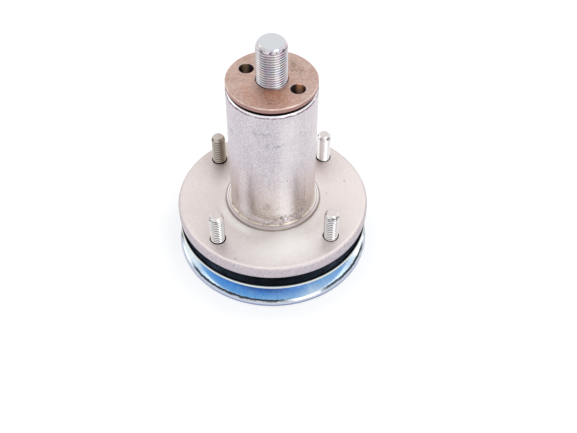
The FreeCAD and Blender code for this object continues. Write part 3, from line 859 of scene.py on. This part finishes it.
def threaded_shaft_finish(hues, sizes):
    """Bright shaft: painted shade in the thread roots, painted dark stripes at fixed turns, a plain pale end
    and painted dark reflections as spots on its shoulder.
    """
    shaft, rough, grain = bright_steel("bright_shaft", hues, hues.shaft, 0.6)
    radius, turn, height, lay = shaft.radius, shaft.turn, shaft.height, shaft.lay
    crest = sizes.blade_thread_radius / MM
    top = shaft_high.z / MM
    # Painted shade in the thread roots.
    dirt = radius.fade(crest - 0.18, crest - 0.5)
    ends = height.fade(top - 2, top - 2.6) * height.fade(0.05, 0.4)
    worn = shaft.fans(1.6, 0.35, 0.6).scaled(0.55, 0.45)
    lay(hues.thread_root, dirt * ends * worn, 0.95)
    shoulder = height.fade(top - 0.02, top - 0.3) * height.fade(top - 3.4, top - 2.6)
    lay(hues.bloom_pink, shoulder, 0.15)
    # Painted dark reflections as stripes at fixed turns.
    painted_dark_stripes = turn.near(-15, 17, 7).most(turn.near(-90, 20, 8))
    lay(hues.stain_violet, painted_dark_stripes * height.fade(top - 2.2, top - 4), 0.4)
    lay(hues.stain_olive, turn.near(-50, 34, 12), 0.2)
    # Painted dark reflections as spots on the front of the shoulder.
    dark_reflection_flecks = shaft.mottle(0.5, 3, 0.46, 0.54, stretch=2.0).mask
    front = turn.near(10, 80, 40) * height.near(top - 1.75, 0.75, 0.35)
    lay(hues.thread_root, dark_reflection_flecks * front, 0.9)
    flat = height.fade(top - 0.06, top - 0.02) * radius.fade(6.4, 6)
    lay(hues.shaft_end, flat)
    return shaft.done(flat.scaled(0.3, rough), grain, *BRIGHT_RELIEF)


def zinc_stud_finish(hues, sizes):
    """Zinc plated stud: painted shade in the thread roots and in its hole, painted dark reflections as spots
    on its point, painted light on the back-right stud, and one stud darker than the rest.
    """
    stud, rough, grain = bright_steel("zinc_stud", hues, hues.stud, 0.2)
    across, height, lay = stud.across, stud.height, stud.lay
    crest = sizes.crest_radius / MM
    tip = stud_high.z / MM - 1.4
    face = deck_face / MM
    rear = stud.back.fade(-1, 1)
    dull = across.fade(1, -1) * rear
    lit = across.fade(-1, 1) * rear
    # The back-left stud is darker, olive on its right half.
    lay(hues.stud_dull, dull, 0.75)
    right_side = across.fade(-31, -29)
    lay(hues.stain_olive, dull * right_side, 0.55)
    # Painted shade in the thread roots, less on the back-right stud.
    roots = stud_radius(stud, sizes).fade(crest - 0.2, crest - 0.55) * height.fade(tip + 0.2, tip - 0.4)
    lay(hues.thread_root, roots * lit.scaled(-0.55, 1), 0.9)
    # Painted light on the back-right stud.
    lay(hues.white_metal, lit, 0.5)
    # Painted dark reflections as spots on the point.
    dark_reflection_flecks = stud.mottle(0.45, 2, 0.5, 0.58).mask
    lay(hues.thread_root, dark_reflection_flecks * height.near(tip - 0.1, 1.3, 0.6), 0.7)
    lay(hues.flange_shade, height.fade(tip + 1.3, tip + 1.38), 0.6)
    # Painted shade in the flange's hole.
    lay(hues.shade_black, height.fade(face + 0.1, face - 0.1))
    return stud.done(rough, grain, *BRIGHT_RELIEF)


def zinc_nut_finish(hues):
    """Zinc plated nut and washer."""
    nut, rough, grain = bright_steel("zinc_nut", hues, hues.stud, 0.2)
    nut.lay(hues.stain_grey, nut.fans(9, 0.5, 0.7), 0.3)
    return nut.done(rough, grain, *BRIGHT_RELIEF)


def blue_zinc_finish(name, hues, deep, light):
    """Blue zinc plate on pressed sheet: glossy, with painted shade deeper in the groove, a painted blue
    reflection at the front, pale sheared edges, painted shade on the lip's shoulder and a painted dark
    reflection along the bend.
    """
    zinc = Finish(name, light)
    radius, turn, height, lay = zinc.radius, zinc.turn, zinc.height, zinc.lay
    clouds = zinc.mottle(0.07, 3, 0.4, 0.68)
    fine = zinc.mottle(1.1, 3, 0.4, 0.65)
    pale, edge, dark_shade = hues.pulley_pale, hues.pulley_edge, hues.shade_black
    # Painted shade deeper in the groove, lighter towards the rim.
    painted_light_outwards = radius.fade(44.5, 51.5)
    lay(pale, painted_light_outwards)
    # Painted blue reflection, strongest at the front, mixed with blotchy plate.
    blue_plate_and_reflection = turn.near(-21, 53, 30).most(zinc.fans(1.1, 0.45, 0.6) * 0.8)
    lay(tint(zinc.tree, deep, light, painted_light_outwards), blue_plate_and_reflection)
    # Painted blue reflection at two turns of the groove.
    blue_reflection_flanks = turn.near(-42, 26, 10).most(turn.near(46, 22, 8))
    lay(hues.pulley_blue, blue_reflection_flanks * radius.fade(43, 47), 0.5)
    lay(pale, clouds.mask, 0.2)
    brushed = zinc.fans(22, 0.4, 0.65)
    lay(deep, brushed, 0.2)
    lay(hues.white_metal, fine.mask, 0.15)

    over_groove = radius.scaled(-GROOVE_SLOPE, height)
    lay(hues.pulley_back, over_groove.fade(-0.2, 0.2), 0.9)
    lip = height.fade(14.6, 15)
    lay(edge, zinc.band(radius, 52.5, 0.8, 0.3, 0.5) * lip, 0.9)
    # Painted shade on the upper lip's shoulder, under the flange.
    shoulder = height.fade(16, 16.25) * radius.fade(50.6, 51.2)
    lay(dark_shade, shoulder, 0.9)

    skirt = radius.fade(52.6, 53.2) * height.fade(3.9, 3.4)
    lay(hues.pulley_skirt, skirt, 0.9)
    # Painted reflection: a violet line near the foot of the skirt.
    lay(hues.pulley_foot, skirt * zinc.band(height, 1.7, 1.3, 0.5, 0.2), 0.7)
    # Painted dark reflection along the bend, at fixed turns in front and in patches behind.
    bend = zinc.band(radius, 52.35, 1.7, 1, 0.45) * height.fade(5, 4.6)
    back_bend_reflection = zinc.fans(2.6, 0.34, 0.5) * abs(turn).fade(75, 90)
    front_bend_reflection = turn.near(-27, 40, 28).most(turn.near(53, 30, 18))
    lay(dark_shade, bend * front_bend_reflection.most(back_bend_reflection), 0.95)
    chips = zinc.specks(0.4, 0.26, 0.14)
    lay(edge, chips, 0.5)
    return zinc.done(fine.value.scaled(0.08, 0.1), clouds.value, 0.05 * MM, 0.3)


def ground_steel_finish(hues):
    """Ground bearing steel, with fine rings."""
    steel = Finish("ground_steel", hues.bearing)
    marks = steel.effect("tool_marks", steel.radius + steel.height, 9)
    steel.lay(hues.stain_grey, marks.value, 0.3)
    return steel.done(marks.value.scaled(0.12, 0.1), marks.height, 0.004 * MM, 0.3)


def moulded_finish(name, colour, roughness):
    """Moulded rubber or plastic with a fine grain."""
    moulding = Finish(name, colour, metallic=0.0)
    grain = moulding.mottle(1.8, 4, 0.35, 0.7)
    darker = tuple(0.6 * part for part in colour[:3]) + (1.0,)
    moulding.lay(darker, grain.mask, 0.2)
    return moulding.done(grain.value.scaled(0.2, roughness), grain.value, 0.03 * MM, 0.5)


def dress(material, *nodes):
    """Gives CAD nodes a material through their slots."""
    for name in nodes:
        slots = frame["nodes"][name].material_slots
        if not slots:
            raise RuntimeError(name + " has no material slot")
        for slot in slots:
            slot.material = material


class SPINDLE_OT_shaft(bpy.types.Operator):
    """Model the shaft with a rolled thread at both ends and a seat for each key"""

    bl_idname = "spindle.shaft"
    bl_label = "Threaded shaft"

    def execute(self, context):
        sizes = context.scene.spindle_shaft
        bottom, top = shaft_low.z, shaft_high.z
        journal, collar = sizes.journal_radius, sizes.collar_radius
        core = sizes.pulley_thread_radius - sizes.depth - 0.1 * MM
        thread_top = bottom + sizes.pulley_thread_length
        collar_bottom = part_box("blade_bearing_inner_ring")[1].z
        thread_start = driver_high.z - sizes.thread_below_seat
        relief_bottom = thread_start - sizes.relief_width
        relief = journal - sizes.relief_depth
        wide = 0.5 * MM
        shaft = turned_piece("threaded_shaft", [
            (core, bottom + wide),
            (core, thread_top),
            (journal, thread_top),
            (journal, collar_bottom),
            (collar, collar_bottom),
            (collar, driver_low.z),
            (journal, driver_low.z),
            (journal, relief_bottom),
            (relief, relief_bottom),
            (relief, thread_start + OVERLAP),
        ])

        outside = sizes.blade_thread_radius + CREST_MARGIN
        add_thread(
            shaft, sizes, sizes.blade_thread_radius, thread_start, top + OVERLAP,
            [(outside, thread_start - OVERLAP)] + blended_end(outside, top, sizes))
        chamfer = sizes.pulley_end_chamfer
        add_thread(shaft, sizes, sizes.pulley_thread_radius, bottom - OVERLAP, thread_top + RUN_IN, [
            (journal - chamfer, bottom),
            (journal + wide, bottom + chamfer + wide),
            (journal + wide, thread_top + OVERLAP),
        ])
        for key in ("driver_key", "pulley_key"):
            combine(shaft, key_seat(key), "DIFFERENCE")
        finish_mesh(shaft)
        shaft.data.materials.append(threaded_shaft_finish(context.scene.spindle_finishes, sizes))
        dress(shaft.data.materials[0], "bearing_spacer", "driver_key", "pulley_key")
        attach(shaft, "rotor")
        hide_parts("spindle_shaft")
        return {"FINISHED"}


class SPINDLE_OT_studs(bpy.types.Operator):
    """Model one deck stud with its rolled thread, and copy it to each hole of the flange"""

    bl_idname = "spindle.studs"
    bl_label = "Deck studs"

    def execute(self, context):
        sizes = context.scene.spindle_studs
        core = sizes.crest_radius - sizes.depth - 0.08 * MM
        neck_top = flange_bottom + sizes.neck_length
        thread_bottom = neck_top + 0.4 * MM
        stud = turned_piece("deck_stud_1", rounded_start(sizes.head_radius, stud_low.z, sizes.head_round) + [
            (sizes.head_radius, flange_bottom),
            (sizes.neck_radius, flange_bottom),
            (sizes.neck_radius, neck_top),
            (core, neck_top),
            (core, thread_bottom + 2 * OVERLAP),
        ])
        outside = sizes.crest_radius + CREST_MARGIN
        run_out = [(core + 0.02 * MM, thread_bottom + 0.1 * MM), (outside, thread_bottom + OVERLAP)]
        add_thread(
            stud, sizes, sizes.crest_radius, thread_bottom, stud_high.z + OVERLAP,
            run_out + blended_end(outside, stud_high.z, sizes))
        finish_mesh(stud)
        stud.data.materials.append(zinc_stud_finish(context.scene.spindle_finishes, sizes))

        count = deck_studs["count"]
        studs = [stud]
        while len(studs) < count:
            only(stud)
            bpy.ops.object.duplicate(linked=False)
            studs.append(bpy.context.object)
        for index, piece in enumerate(studs):
            only(piece)
            piece.name = "deck_stud_" + str(index + 1)
            turn = math.radians(FIRST_STUD_TURN + 360.0 * index / count)
            piece.rotation_euler = (0, 0, turn)
            piece.location = Matrix.Rotation(turn, 3, "Z") @ Vector((sizes.circle_radius, 0, 0))
            bpy.ops.object.transform_apply(location=True, rotation=True, scale=True)
            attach(piece, "housing")
            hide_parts("mounting_studs")
        return {"FINISHED"}


class SPINDLE_OT_housing(bpy.types.Operator):
    """Finish the tube, the flange and the braze between them"""

    bl_idname = "spindle.housing"
    bl_label = "Housing finish"

    def execute(self, context):
        hues = context.scene.spindle_finishes
        dress(drawn_tube_finish(hues), "housing_tube")
        dress(turned_flange_finish(hues, context.scene.spindle_studs), "mounting_flange", "pulley_boss")
        dress(braze_finish(hues), "braze_fillet")
        return {"FINISHED"}


class SPINDLE_OT_driver(bpy.types.Operator):
    """Finish the sintered blade driver"""

    bl_idname = "spindle.driver"
    bl_label = "Driver finish"

    def execute(self, context):
        hues = context.scene.spindle_finishes
        # Each hole with the colour of the painted light on its wall, and how far right of its middle that
        # painted light lies.
        holes = (
            (mount("drive_pin_hole_a"), hues.right_hole_sheen_and_oil, 1.0),
            (mount("drive_pin_hole_b"), hues.left_hole_sheen, -0.4),
        )
        dress(sintered_driver_finish(hues, holes), "blade_driver")
        return {"FINISHED"}


class SPINDLE_OT_pulley(bpy.types.Operator):
    """Finish the pulley's two halves, its washer and its nut"""

    bl_idname = "spindle.pulley"
    bl_label = "Pulley finish"

    def execute(self, context):
        hues = context.scene.spindle_finishes
        upper = blue_zinc_finish("blue_zinc_upper", hues, hues.pulley_deep, hues.pulley_blue)
        lower = blue_zinc_finish("blue_zinc_lower", hues, hues.pulley_light, hues.pulley_pale)
        dress(upper, "pulley_upper_half")
        dress(lower, "pulley_lower_half")
        dress(zinc_nut_finish(hues), "pulley_washer", "pulley_nut")
        return {"FINISHED"}


class SPINDLE_OT_bearings(bpy.types.Operator):
    """Finish both ball bearings"""

    bl_idname = "spindle.bearings"
    bl_label = "Bearing finish"

    def execute(self, context):
        hues = context.scene.spindle_finishes
        steel = ground_steel_finish(hues)
        rubber = moulded_finish("seal_rubber", hues.rubber, 0.45)
        cage = moulded_finish("cage_plastic", hues.cage, 0.35)
        for bearing in ("blade_bearing", "pulley_bearing"):
            dress(steel, bearing + "_inner_ring", bearing + "_outer_ring", bearing + "_balls")
            dress(cage, bearing + "_cage")
            dress(rubber, bearing + "_lower_seal", bearing + "_upper_seal")
        return {"FINISHED"}


def seen_rays(tree):
    """One for a ray from the camera, off metal or through glass, else nought."""
    path = add_node(tree, "LightPath", {})
    seen = Measure(tree, path["Is Camera Ray"]).most(path["Is Glossy Ray"])
    return seen.most(path["Is Transmission Ray"])


def floor_material(grey, glow):
    """Pale floor that looks white where nothing shades it."""
    material = bpy.data.materials.new("studio_floor")
    material.use_nodes = True
    tree = material.node_tree
    tree.nodes.clear()
    paint = add_node(tree, "BsdfDiffuse", {"Color": (grey, grey, grey, 1.0)})
    light = add_node(tree, "Emission", {"Color": WHITE, "Strength": seen_rays(tree) * glow})
    both = add_node(tree, "AddShader", {0: paint["BSDF"], 1: light["Emission"]})
    add_node(tree, "OutputMaterial", {"Surface": both["Shader"]})
    return material


def white_studio(strength):
    """White all round, with less light than it shows."""
    world = bpy.data.worlds.new("white_studio")
    world.use_nodes = True
    tree = world.node_tree
    sky = tree.nodes["Background"].inputs
    join(tree, WHITE, sky["Color"])
    join(tree, seen_rays(tree).scaled(1.0 - strength, strength), sky["Strength"])
    return world


def soft_lamp(name, place, size, power):
    """Large square lamp that points at the part."""
    deselect_all()
    bpy.ops.object.light_add(type="AREA", location=place)
    lamp = bpy.context.object
    lamp.name = name
    lamp.data.shape = "SQUARE"
    lamp.data.size = size
    lamp.data.energy = power
    lamp.rotation_euler = (Vector(LAMP_AIM) - Vector(place)).to_track_quat("-Z", "Y").to_euler()


class SPINDLE_OT_stage(bpy.types.Operator):
    """Set the floor, the light and the camera"""

    bl_idname = "spindle.stage"
    bl_label = "Stage"

    def execute(self, context):
        scene = context.scene
        stage = scene.spindle_stage
        deselect_all()
        bpy.ops.mesh.primitive_plane_add(size=FLOOR_SIZE, location=(0, 0, 0))
        floor = bpy.context.object
        floor.name = "floor"
        floor.data.materials.append(floor_material(stage.floor_shade, stage.floor_glow))
        scene.world = white_studio(stage.sky_strength)
        for name, place, size, power in LAMPS:
            soft_lamp(name, place, size, getattr(stage, power))

        bpy.ops.object.camera_add()
        camera = bpy.context.object
        camera.name = "photo_camera"
        camera.data.lens = stage.camera_lens
        camera.data.sensor_width = SENSOR_WIDTH
        camera.data.clip_start = NEAR_CLIP
        heading = Matrix.Rotation(-stage.camera_yaw, 4, "Z")
        tilt = Matrix.Rotation(math.pi / 2 - stage.camera_pitch, 4, "X")
        roll = Matrix.Rotation(stage.camera_roll, 4, "Z")
        camera.matrix_world = Matrix.Translation(stage.camera_place) @ heading @ tilt @ roll
        scene.camera = camera
        scene.view_settings.view_transform = "Standard"
        return {"FINISHED"}


OPERATORS = (
    SPINDLE_OT_shaft,
    SPINDLE_OT_studs,
    SPINDLE_OT_housing,
    SPINDLE_OT_driver,
    SPINDLE_OT_pulley,
    SPINDLE_OT_bearings,
    SPINDLE_OT_stage,
)
SETTINGS = {
    "spindle_shaft": SpindleShaftSizes,
    "spindle_studs": SpindleStudSizes,
    "spindle_finishes": SpindleFinishes,
    "spindle_stage": SpindleStage,
}


class SPINDLE_PT_panel(bpy.types.Panel):
    """Lists the steps and their settings"""

    bl_idname = "SPINDLE_PT_panel"
    bl_label = "Mower Deck Spindle"
    bl_space_type = "VIEW_3D"
    bl_region_type = "UI"
    bl_category = "Spindle"

    def draw(self, context):
        for operator in OPERATORS:
            self.layout.operator(operator.bl_idname)
        for name, group in SETTINGS.items():
            box = self.layout.box()
            box.label(text=group.__doc__)
            for key in group.__annotations__:
                box.prop(getattr(context.scene, name), key)


CLASSES = (*SETTINGS.values(), *OPERATORS, SPINDLE_PT_panel)


def register():
    for item in CLASSES:
        bpy.utils.register_class(item)
    for name, group in SETTINGS.items():
        setattr(bpy.types.Scene, name, bpy.props.PointerProperty(type=group))


def unregister():
    for name in SETTINGS:
        delattr(bpy.types.Scene, name)
    for item in reversed(CLASSES):
        bpy.utils.unregister_class(item)


def main():
    register()
    bpy.ops.spindle.shaft()
    bpy.ops.spindle.studs()
    bpy.ops.spindle.housing()
    bpy.ops.spindle.driver()
    bpy.ops.spindle.pulley()
    bpy.ops.spindle.bearings()
    bpy.ops.spindle.stage()
    bpy.context.view_layer.update()


if __name__ == "__main__":
    main()
